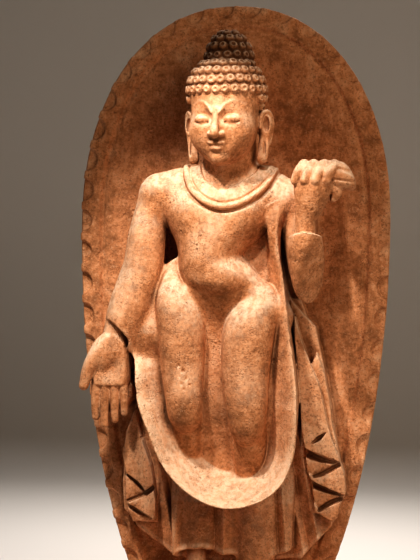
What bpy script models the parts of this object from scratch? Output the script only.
"""A stone stele: a standing Buddha in high relief on an almond-shaped slab with a scalloped border.

Slab, figure, drapery, feet and base are one block, so they are one solid. The slab, its border and the base are
in metres. The figure is measured in parts, hundredths of its own height, from the slab's front and the soles up.
Its masses are balls, limbs and sheets of stone, which a voxel remesh fuses before the whole is thinned to facets.
Front is -Y, +X is the viewer's right, +Z is up, and the origin is below the middle, on the ground.
"""

import math

import bmesh
import bpy
import numpy as np
from mathutils import Matrix, Vector

# Slab
STELE_HEIGHT = 1.54
SLAB_WIDTH = 0.75
SLAB_THICKNESS = 0.115
WIDEST_HEIGHT = 1.018
LOWER_CURVE_TAIL = 0.082
HEAD_CURVE_POWER = 2.15
OUTLINE_POINTS = 160

# Border and the hollowed ground inside it
BORDER_WIDTH = 0.054
BORDER_LINE_WIDTH = 0.010
BORDER_LINE_DEPTH = 0.005
GROUND_DEPTH = 0.022
GROUND_RUN = 0.170
SCALLOP_PITCH = 0.076
SCALLOP_RADIUS = 0.029
SCALLOP_DEPTH = 0.008
SCALLOP_WALL = 0.008

# Base
BASE_HEIGHT = 0.13
BASE_WIDTH = 0.56
BASE_DEPTH = 0.40
BASE_ROUNDING = 0.018

# Figure
FIGURE_HEIGHT = 1.335
HEAD_NOD = math.radians(8)
HEAD_TURN = math.radians(-5)

# Stone surface, where the fine share and factor say how strongly head and hands keep their facets in the thinning
SLAB_VOXEL = 0.008
VOXEL = 0.005
SMOOTHING_ROUNDS = 2
TRIANGLES = 9600
FINE_SHARE = 0.03
FINE_FACTOR = 0.001
CUT_ALLOWANCE = 0.015

PART = FIGURE_HEIGHT / 100
SLAB_BACK = BASE_DEPTH / 2
SLAB_FRONT = SLAB_BACK - SLAB_THICKNESS


def clear_scene():
    """Removes every object, so that the script can be run again in an open file."""
    for obj in list(bpy.data.objects):
        bpy.data.objects.remove(obj, do_unlink=True)


def spot(x, out, up):
    """A point of the figure, from parts to metres: across, out from the slab's front, and up from the soles."""
    return Vector((x * PART, SLAB_FRONT - out * PART, BASE_HEIGHT + up * PART))


def half_width(height):
    """Half the slab's width at a height: a rounded head above its widest line and half an ellipse below.

    The lower curve, run on, would close its tail's length below the ground.
    """
    if height >= WIDEST_HEIGHT:
        share = min((height - WIDEST_HEIGHT) / (STELE_HEIGHT - WIDEST_HEIGHT), 1.0)
        return SLAB_WIDTH / 2 * (1 - share**HEAD_CURVE_POWER) ** (1 / HEAD_CURVE_POWER)
    reach = WIDEST_HEIGHT + LOWER_CURVE_TAIL
    return SLAB_WIDTH / 2 * math.sqrt(1 - ((WIDEST_HEIGHT - height) / reach) ** 2)


def slab_outline():
    """Points up the slab's right edge, over its top and down its left edge, closer together near the top."""
    foot = -CUT_ALLOWANCE
    edge = []
    for i in range(OUTLINE_POINTS + 1):
        height = foot + (STELE_HEIGHT - foot) * math.sin(math.pi / 2 * i / OUTLINE_POINTS)
        edge.append((half_width(height), height))
    return edge + [(-x, z) for x, z in reversed(edge[:-1])]


def pour(piece, clay):
    """Adds one bmesh to another and frees it. A shape is made by itself first, as Blender's tools slow with size."""
    mesh = bpy.data.meshes.new("piece")
    piece.to_mesh(mesh)
    piece.free()
    clay.from_mesh(mesh)
    bpy.data.meshes.remove(mesh)


def add_ball(clay, centre, radii, rings=14):
    """Adds an ellipsoid whose centre and radii are in parts, across, out and up."""
    scale = Matrix.Diagonal((radii[0] * PART, radii[1] * PART, radii[2] * PART, 1))
    place = Matrix.Translation(spot(*centre)) @ scale
    ball = bmesh.new()
    bmesh.ops.create_uvsphere(ball, u_segments=2 * rings, v_segments=rings, radius=1, matrix=place)
    pour(ball, clay)


def add_limb(clay, stations):
    """Adds a round limb through stations (across, out, up, radius) in parts, with a ball at each of them."""
    for *centre, radius in stations:
        add_ball(clay, centre, (radius,) * 3)
    for start, end in zip(stations, stations[1:]):
        low, high = spot(*start[:3]), spot(*end[:3])
        turn = (high - low).to_track_quat("Z", "Y").to_matrix().to_4x4()
        cone = bmesh.new()
        bmesh.ops.create_cone(
            cone,
            cap_ends=True,
            segments=28,
            radius1=start[3] * PART,
            radius2=end[3] * PART,
            depth=(high - low).length,
            matrix=Matrix.Translation((low + high) / 2) @ turn,
        )
        pour(cone, clay)


def add_loft(clay, sections, points=36):
    """Adds a trunk through level ellipses, each (across, out, up, half width, half depth) in parts."""
    loft = bmesh.new()
    rings = []
    for across, out, up, wide, deep in sections:
        turns = [2 * math.pi * i / points for i in range(points)]
        ring = [spot(across + wide * math.cos(t), out - deep * math.sin(t), up) for t in turns]
        rings.append([loft.verts.new(point) for point in ring])
    for low, high in zip(rings, rings[1:]):
        for i in range(points):
            loft.faces.new((low[i], low[(i + 1) % points], high[(i + 1) % points], high[i]))
    loft.faces.new(rings[0][::-1])
    loft.faces.new(rings[-1])
    pour(loft, clay)


def add_plate(clay, outline, back, front, soft=False, lean=0.0, hinge=0.0):
    """Adds a flat plate of an outline in metres (across, up), between two places along Y.

    A soft plate runs round its points in a smooth curve, and any other has straight sides. With a lean, the plate
    comes forward by that share of the drop below the hinge's height.
    """
    curve = bpy.data.curves.new("plate", "CURVE")
    curve.dimensions = "2D"
    curve.fill_mode = "BOTH"
    curve.extrude = (back - front) / 2
    curve.resolution_u = 6
    spline = curve.splines.new("BEZIER")
    spline.bezier_points.add(len(outline) - 1)
    for point, (x, z) in zip(spline.bezier_points, outline):
        point.co = (x, z, 0)
        point.handle_left_type = point.handle_right_type = "AUTO" if soft else "VECTOR"
    spline.use_cyclic_u = True
    obj = bpy.data.objects.new("plate", curve)
    bpy.context.scene.collection.objects.link(obj)
    stand = Matrix.Translation((0, (back + front) / 2, 0)) @ Matrix.Rotation(math.pi / 2, 4, "X")
    mesh = bpy.data.meshes.new_from_object(obj.evaluated_get(bpy.context.evaluated_depsgraph_get()))
    shear = Matrix(((1, 0, 0, 0), (0, 1, lean, -lean * hinge), (0, 0, 1, 0), (0, 0, 0, 1)))
    mesh.transform(shear @ stand)
    clay.from_mesh(mesh)
    bpy.data.objects.remove(obj)
    bpy.data.curves.remove(curve)
    bpy.data.meshes.remove(mesh)


def add_sheet(clay, outline, back, front, soft=True, lean=0.0, hinge=0.0):
    """Adds a plate of cloth from an outline in parts (across, up), between two distances out from the slab."""
    flat = [(x * PART, BASE_HEIGHT + up * PART) for x, up in outline]
    height = BASE_HEIGHT + hinge * PART
    add_plate(clay, flat, SLAB_FRONT - back * PART, SLAB_FRONT - front * PART, soft, lean, height)


def fused(clay, voxel, rounds):
    """One closed mesh round everything in the clay, from a voxel remesh and some rounds of smoothing."""
    bmesh.ops.remove_doubles(clay, verts=clay.verts, dist=1e-5)
    mesh = bpy.data.meshes.new("clay")
    clay.to_mesh(mesh)
    clay.free()
    obj = bpy.data.objects.new("clay", mesh)
    bpy.context.scene.collection.objects.link(obj)
    remesh = obj.modifiers.new("fuse", "REMESH")
    remesh.mode = "VOXEL"
    remesh.voxel_size = voxel
    smooth = obj.modifiers.new("smooth", "SMOOTH")
    smooth.factor = 0.5
    smooth.iterations = int(rounds)
    result = bpy.data.meshes.new_from_object(obj.evaluated_get(bpy.context.evaluated_depsgraph_get()))
    bpy.data.objects.remove(obj)
    bpy.data.meshes.remove(mesh)
    return result


def ramp(value, start, end):
    """0 below start, 1 above end and a smooth S between them."""
    share = np.clip((value - start) / (end - start), 0, 1)
    return share * share * (3 - 2 * share)


def ground_carving(x, z):
    """How far the slab's front is cut back at points (x, z): the hollow ground, the border's line and its scallops.

    The hollow deepens with the distance from the edge, past the border. Each scallop is a disc whose centre lies on
    the edge, and they stand a pitch apart along it, the same to the left and to the right.
    """
    edge = np.array(slab_outline())
    right = edge[: OUTLINE_POINTS + 1][::-1]
    along = np.concatenate(([0], np.cumsum(np.hypot(*np.diff(right, axis=0).T))))
    stops = np.arange(0.5, along[-1] / SCALLOP_PITCH) * SCALLOP_PITCH
    centres = np.column_stack((np.interp(stops, along, right[:, 0]), np.interp(stops, along, right[:, 1])))
    points = np.column_stack((x, z))
    mirrored = np.column_stack((np.abs(x), z))
    inward = np.array([np.hypot(*(right - point).T).min() for point in mirrored])
    hollow = GROUND_DEPTH * ramp(inward, BORDER_WIDTH, BORDER_WIDTH + GROUND_RUN)
    line = BORDER_LINE_DEPTH * np.clip(1 - np.abs(inward - BORDER_WIDTH) / BORDER_LINE_WIDTH, 0, 1)
    nearest = np.array([np.hypot(*(centres - point).T).min() for point in np.abs(points)])
    scallops = SCALLOP_DEPTH * (1 - ramp(nearest, SCALLOP_RADIUS - SCALLOP_WALL, SCALLOP_RADIUS))
    return hollow + line + scallops


def carved_slab():
    """The slab's plate with its front cut back by the ground and the border's carving."""
    clay = bmesh.new()
    add_plate(clay, slab_outline(), SLAB_BACK, SLAB_FRONT)
    mesh = fused(clay, SLAB_VOXEL, 0)
    points = np.empty(3 * len(mesh.vertices), np.float32)
    mesh.vertices.foreach_get("co", points)
    points = points.reshape(-1, 3)
    front = points[:, 1] < SLAB_FRONT + SLAB_VOXEL / 2
    points[front, 1] += ground_carving(points[front, 0], points[front, 2])
    mesh.vertices.foreach_set("co", points.ravel())
    return mesh


def add_base(clay):
    """A plain low block under slab and feet, as deep as the stele, with its upright edges rounded."""
    x, y, r = BASE_WIDTH / 2, BASE_DEPTH / 2, BASE_ROUNDING
    place = Matrix.Translation((0, 0, (BASE_HEIGHT - CUT_ALLOWANCE) / 2))
    block = bmesh.new()
    bmesh.ops.create_cube(block, size=1, matrix=place @ Matrix.Diagonal((2 * x, 2 * y, BASE_HEIGHT + CUT_ALLOWANCE, 1)))
    bmesh.ops.bevel(block, geom=list(block.edges), offset=r, segments=3, profile=0.5, affect="EDGES")
    pour(block, clay)


def add_body(clay):
    """Trunk, shoulders, neck and legs, as they show through the thin robe."""
    trunk = [
        (-1.3, 3.5, 42, 11.2, 7.0),
        (-1.1, 5.0, 49, 11.7, 8.4),
        (-0.8, 5.4, 53.5, 10.2, 8.5),
        (-0.5, 6.0, 57, 8.5, 8.7),
        (-0.4, 6.2, 60, 8.1, 8.5),
        (-0.5, 6.3, 63.5, 8.8, 8.0),
        (-0.7, 6.4, 67, 10.6, 7.8),
        (-0.7, 6.2, 70, 11.8, 7.0),
        (-0.4, 5.8, 73, 11.4, 5.8),
        (0.1, 5.6, 75.4, 7.6, 4.8),
    ]
    add_loft(clay, trunk)
    add_ball(clay, (-0.4, 7.2, 57.4), (7.4, 8.3, 4.8))
    for across in (-5.0, 3.8):
        add_ball(clay, (across, 6.2, 67.4), (5.6, 7.2, 4.8))
    add_limb(clay, [(-12.4, 7.0, 70.8, 3.8), (-6, 6.6, 71.4, 4.6), (6, 6.6, 71.4, 4.6), (12.4, 7.0, 70.8, 3.8)])
    add_limb(clay, [(0.3, 6.6, 70, 5.4), (0.1, 8.6, 77, 4.7)])
    add_limb(clay, [(-6.6, 8.2, 49.5, 5.0), (-6.6, 10.2, 39, 4.3), (-6.2, 12.0, 32.8, 3.7)])
    add_limb(clay, [(-6.2, 10.8, 32, 3.5), (-6.1, 11.0, 25, 3.1)])
    add_limb(clay, [(3.8, 8.4, 49.5, 5.2), (4.2, 10.2, 38, 4.9), (4.6, 12.0, 31.8, 4.2)])
    add_limb(clay, [(4.5, 10.8, 30, 3.9), (4.2, 11.0, 22.8, 3.6)])


def add_backing(clay):
    """The stone left standing between the slab and head, shoulders, arms and hands, narrower than what it carries."""
    add_sheet(clay, [(-4.0, 70), (-3.6, 80), (-3.8, 88), (-2.2, 94), (2.2, 94), (3.8, 88), (3.6, 80), (4.0, 70)], -3, 8)
    left = [(-12, 73), (-15.6, 70), (-16.8, 62), (-18.4, 54), (-20.6, 47), (-21.0, 40), (-17.6, 40), (-15.4, 48)]
    add_sheet(clay, left + [(-13, 54), (-11, 62), (-9, 70)], -3, 7)
    right = [(8, 73), (13, 73), (15, 68), (14.8, 62), (15.2, 56), (14.0, 54), (10, 56), (8, 64)]
    add_sheet(clay, right, -3, 9)
    add_sheet(clay, [(13.2, 74), (18.8, 74.2), (18.8, 72.2), (15.2, 70.4), (13.6, 70.4)], -3, 14)


def head_frame():
    """The head's turn and nod about the top of the neck."""
    pivot = Matrix.Translation(spot(0, 9, 77))
    return pivot @ Matrix.Rotation(HEAD_TURN, 4, "Z") @ Matrix.Rotation(HEAD_NOD, 4, "X") @ pivot.inverted()


def add_curls(clay, centre, radii, rows, size, lowest, highest):
    """Snail curls in level rings on an ellipsoid, each ring half a curl round from the one below.

    The rings stand at even steps of latitude, from the lowest to the highest in degrees.
    """
    for row in range(rows):
        latitude = math.radians(lowest + row * (highest - lowest) / (rows - 1))
        reach = math.cos(latitude)
        count = max(int(2 * math.pi * radii[0] * reach / (2 * size)), 1)
        for i in range(count):
            angle = 2 * math.pi * (i + row % 2 / 2) / count
            across = centre[0] + radii[0] * reach * math.sin(angle)
            out = centre[1] + radii[1] * reach * math.cos(angle)
            add_ball(clay, (across, out, centre[2] + radii[2] * math.sin(latitude)), (size,) * 3, rings=5)


def add_head(clay):
    """Face, hair with its curls and crown bump, and long-lobed ears, all turned and nodded about the neck."""
    head = bmesh.new()
    add_ball(head, (0, 11.4, 81.8), (5.8, 6.5, 7.2))
    add_ball(head, (0, 14.2, 77.4), (3.4, 3.3, 2.8))
    add_ball(head, (0, 10.4, 86.8), (6.3, 6.8, 6.4))
    add_ball(head, (0.2, 8.8, 94.6), (3.7, 3.9, 4.9))
    add_curls(head, (0, 10.4, 86.6), (6.3, 6.8, 6.4), 5, 0.85, 4, 60)
    add_curls(head, (0.2, 8.8, 94.6), (3.7, 3.9, 4.9), 5, 0.8, -10, 80)
    add_limb(head, [(0, 17.2, 82.6, 0.6), (0, 18.3, 79.6, 0.9)])
    for side in (-1, 1):
        add_ball(head, (2.4 * side, 16.3, 81.6), (1.5, 1.1, 0.8))
        add_ball(head, (0.7 * side, 17.4, 79.4), (0.7, 0.8, 0.6))
        add_ball(head, (2.8 * side, 14.4, 79.2), (2.4, 2.4, 2.6))
        add_limb(head, [(6.1 * side, 9.4, 83.8, 1.1), (6.4 * side, 9.6, 80.4, 0.9), (6.1 * side, 10.4, 76.8, 1.0)])
    add_ball(head, (0, 17.0, 77.3), (1.7, 0.9, 0.7))
    bmesh.ops.transform(head, matrix=head_frame(), verts=head.verts)
    pour(head, clay)


def add_collar(clay):
    """Two round bands of cloth round the neck, each along half an ellipse from shoulder to shoulder."""
    for reach, drop, radius in ((8.2, 8.0, 0.8), (6.6, 6.4, 0.9)):
        stations = []
        for i in range(13):
            angle = math.pi * (i / 12 - 0.5)
            across = 0.2 + reach * math.sin(angle)
            out = 6.4 + 8.2 * math.cos(angle) ** 0.7
            stations.append((across, out, 76.2 - drop * math.cos(angle), radius))
        add_limb(clay, stations)


def add_lowered_arm(clay):
    """The viewer's left arm in its sleeve, and the open hand below it with the palm to the front."""
    sleeve = [(-12.9, 7.2, 70.6, 3.8), (-14.8, 7.8, 64.7, 3.1), (-15.4, 8.2, 60.0, 2.9), (-17.4, 8.8, 54.0, 3.0)]
    add_limb(clay, sleeve + [(-19.1, 9.4, 49.0, 2.8)])
    add_limb(clay, [(-18.6, 9.6, 47.6, 2.6), (-19.6, 10.0, 44.6, 2.4)])
    add_sheet(clay, [(-22.4, 44.4), (-17.6, 44.8), (-16.9, 37.4), (-23.1, 37.0)], 2, 11.2)
    add_sheet(clay, [(-22.8, 38), (-17.0, 38), (-17.2, 33.4), (-22.6, 32.2)], -3, 8.6)
    for across, tip, drift in ((-22.4, 31.8, -0.3), (-20.8, 30.6, -0.2), (-19.2, 31.6, -0.1), (-17.7, 33.0, 0)):
        add_limb(clay, [(across, 10.0, 38.4, 0.9), (across + drift, 9.6, tip, 0.75)])
    add_limb(clay, [(-21.0, 10.2, 44.4, 1.5), (-23.2, 10.8, 41.2, 1.3), (-24.6, 11.0, 37.4, 0.9)])


def add_raised_arm(clay):
    """The viewer's right arm: upper arm, forearm in a full sleeve, and the fist with its bunch of cloth."""
    add_limb(clay, [(12.6, 7.2, 70.6, 3.8), (13.6, 8.8, 62, 3.4), (14.6, 11.6, 56, 3.2)])
    add_limb(clay, [(14.9, 13.4, 54.2, 2.2), (14.4, 14.6, 57.8, 3.4), (13.9, 15.2, 61.4, 3.0), (13.8, 15.4, 63.4, 2.6)])
    add_limb(clay, [(13.8, 15.8, 63.4, 1.9), (13.9, 16.4, 67.6, 1.9)])
    add_limb(clay, [(13.9, 16.6, 67.6, 2.0), (14.9, 16.8, 71.6, 3.0), (15.2, 16.6, 73.2, 2.9)])
    for across in (12.7, 14.6, 16.4, 18.2):
        add_limb(clay, [(across, 18.0, 72.4, 1.0), (across + 0.5, 17.0, 74.9, 1.0), (across + 0.5, 13.8, 74.9, 1.0)])
    add_limb(clay, [(18.6, 15.2, 73.7, 2.1), (20.0, 15.0, 73.5, 2.1)])
    add_limb(clay, [(18.0, 16.4, 71.2, 1.0), (19.0, 15.8, 70.2, 0.7)])


def add_apron(clay):
    """The robe's front: a long rounded apron whose hem comes forward, with an upright edge from the right shoulder."""
    left = [(-12.6, 52), (-15.6, 46), (-15.9, 41), (-14.9, 35)]
    bowl = [(-12.9, 30), (-10.2, 24.4), (-6.6, 20.2), (-2.2, 17.9), (2.2, 17.4), (6.4, 18.6), (9.8, 21.4), (12.0, 25.8)]
    right = [(12.8, 32), (12.4, 41), (11.4, 49), (10.4, 56)]
    add_sheet(clay, left + bowl[:1] + [(11.6, 30)] + right + [(6, 58), (-8, 56)], 0, 10.8)
    add_sheet(clay, left[1:] + bowl + right[:2] + [(4, 44), (-8, 44)], 7.0, 10.6, lean=0.19, hinge=42)
    add_sheet(clay, [(11.9, 43), (10.6, 56), (10.0, 66), (11.4, 71.6), (7.6, 71), (7.4, 62), (9.0, 50)], 0, 11.0)


def add_lower_robe(clay):
    """The under-robe about the shins, with round folds, and the wide robe behind it with its slanting hems."""
    back = [(-16.4, 38), (-18.3, 26), (-18.0, 14), (-16.4, 11.6), (-9, 6.6), (13.2, 7.0), (18.2, 12.6)]
    back += [(19.0, 20), (17.6, 32), (15.6, 44), (12.4, 53), (-12, 53)]
    add_sheet(clay, back, -3, 2.8, soft=False)
    middle = spot(0.6, 2.2, 24)
    column = Matrix.Translation(middle) @ Matrix.Diagonal((10.4 * PART, 6.6 * PART, 32 * PART, 1))
    skirt = bmesh.new()
    bmesh.ops.create_cone(skirt, cap_ends=True, segments=40, radius1=0.94, radius2=1.04, depth=1, matrix=column)
    pour(skirt, clay)
    for across, radius in ((-6.0, 3.2), (4.6, 3.4)):
        add_limb(clay, [(across, 5.8, 30, radius), (across, 5.6, 8.6, radius)])
    for across in (-9.4, -2.4, -0.6, 1.2, 8.6, 10.4):
        add_limb(clay, [(across, 7.6 - 0.02 * across * across, 26, 0.6), (across, 7.4 - 0.02 * across * across, 8.6, 0.9)])


def add_cascades(clay):
    """The robe's hanging ends at both sides: long folds whose hems step down in zigzags."""
    right = [
        ([(12.6, 52), (15.8, 46), (17.2, 40), (18.2, 32), (19.6, 25), (14.6, 26.9), (13.2, 27.4), (12.8, 36)], 6.6),
        ([(13.0, 28), (19.2, 26), (19.6, 24.9), (15.2, 22.4), (14.0, 23.4)], 5.8),
        ([(14.2, 24), (17, 24), (20.7, 19.3), (16.2, 16.6), (15.0, 18.0)], 5.0),
        ([(15.2, 18.6), (20, 18.6), (19.5, 15.4), (18.2, 14.2), (15.7, 15.6)], 4.2),
    ]
    left = [
        ([(-16.2, 33), (-14.8, 27), (-13.2, 23), (-12.9, 19.6), (-14.6, 19.0), (-17.9, 21.6), (-18.5, 26)], 6.2),
        ([(-18.2, 22.6), (-14, 20), (-13.2, 18.8), (-18.1, 16.5)], 5.2),
        ([(-18.0, 17.6), (-13.2, 18.6), (-13.0, 13.7), (-16.2, 13.0), (-18.0, 16.2)], 4.4),
    ]
    for outline, front in right + left:
        add_sheet(clay, outline, 0, front, soft=False)
    for x, up, foot in ((13.6, 48, 27.2), (15.4, 44, 26.6), (17.4, 38, 25.4)):
        add_limb(clay, [(x - 0.6, 6.0, up, 0.5), (x + 0.6, 6.6, foot, 0.9)])


def add_feet(clay):
    """Two bare feet side by side on the base, with ankles above and toes as small balls."""
    for across in (-5.6, 4.8):
        add_limb(clay, [(across, 6.4, 9, 2.7), (across, 6.2, 3.6, 2.5)])
        add_limb(clay, [(across, 6.4, 2.4, 2.8), (across, 11.6, 1.4, 2.5)])
        for toe in range(5):
            offset = (toe - 2) * 1.15
            add_limb(clay, [(across + 0.8 * offset, 11.6, 1.0, 1.1), (across + offset, 14.6 - 0.3 * abs(toe - 2), 0.7, 0.8)])


def cut_flat(mesh):
    """Cuts the base off level at the ground and closes the cut with one flat face."""
    clay = bmesh.new()
    clay.from_mesh(mesh)
    geometry = list(clay.verts) + list(clay.edges) + list(clay.faces)
    cut = bmesh.ops.bisect_plane(
        clay, geom=geometry, dist=1e-6, plane_co=(0, 0, 0), plane_no=(0, 0, 1), clear_inner=True
    )
    edges = [piece for piece in cut["geom_cut"] if isinstance(piece, bmesh.types.BMEdge)]
    bmesh.ops.contextual_create(clay, geom=edges)
    bmesh.ops.recalc_face_normals(clay, faces=clay.faces)
    clay.to_mesh(mesh)
    clay.free()


def stone():
    """Warm brown sandstone."""
    material = bpy.data.materials.new("sandstone")
    material.use_nodes = True
    shader = material.node_tree.nodes["Principled BSDF"]
    shader.inputs["Base Color"].default_value = (0.42, 0.24, 0.13, 1)
    shader.inputs["Roughness"].default_value = 0.85
    shader.inputs["Metallic"].default_value = 0
    return material


def thinned(obj):
    """Thins the object's mesh to its facets, with smaller ones left on the head and the hands, and returns it."""
    mesh = obj.data
    points = np.empty(3 * len(mesh.vertices), np.float32)
    mesh.vertices.foreach_get("co", points)
    x, y, z = points.reshape(-1, 3).T
    proud = y < spot(0, 5, 0).y
    head = z > spot(0, 0, 74).z
    fist = (x > spot(11, 0, 0).x) & (z > spot(0, 0, 68).z)
    hand = (x < spot(-16.6, 0, 0).x) & (z < spot(0, 0, 46).z)
    fine = proud & (head | fist | hand)
    group = obj.vertex_groups.new(name="plain stone")
    group.add(np.flatnonzero(~fine).tolist(), 1, "REPLACE")
    group.add(np.flatnonzero(fine).tolist(), 1 - FINE_SHARE, "REPLACE")
    thin = obj.modifiers.new("thin", "DECIMATE")
    thin.use_collapse_triangulate = True
    thin.vertex_group = group.name
    thin.vertex_group_factor = FINE_FACTOR
    thin.ratio = TRIANGLES / (2 * len(mesh.polygons))
    facets = bpy.data.meshes.new_from_object(obj.evaluated_get(bpy.context.evaluated_depsgraph_get()))
    obj.modifiers.clear()
    obj.vertex_groups.clear()
    obj.data = facets
    bpy.data.meshes.remove(mesh)
    return facets


def build_stele(collection):
    """Fuses slab, base and figure to one solid, thins it to facets and stands it flat on the ground."""
    slab = carved_slab()
    clay = bmesh.new()
    clay.from_mesh(slab)
    bpy.data.meshes.remove(slab)
    for add in (add_base, add_body, add_backing, add_head, add_collar, add_lowered_arm, add_raised_arm):
        add(clay)
    for add in (add_apron, add_lower_robe, add_cascades, add_feet):
        add(clay)
    mesh = fused(clay, VOXEL, SMOOTHING_ROUNDS)
    obj = bpy.data.objects.new("buddha_stele", mesh)
    collection.objects.link(obj)
    facets = thinned(obj)
    cut_flat(facets)
    facets.shade_smooth()
    facets.set_sharp_from_angle(angle=math.radians(40))
    facets.materials.append(stone())
    return obj


def main():
    clear_scene()
    collection = bpy.data.collections.new("Buddha stele")
    bpy.context.scene.collection.children.link(collection)
    build_stele(collection)


main()
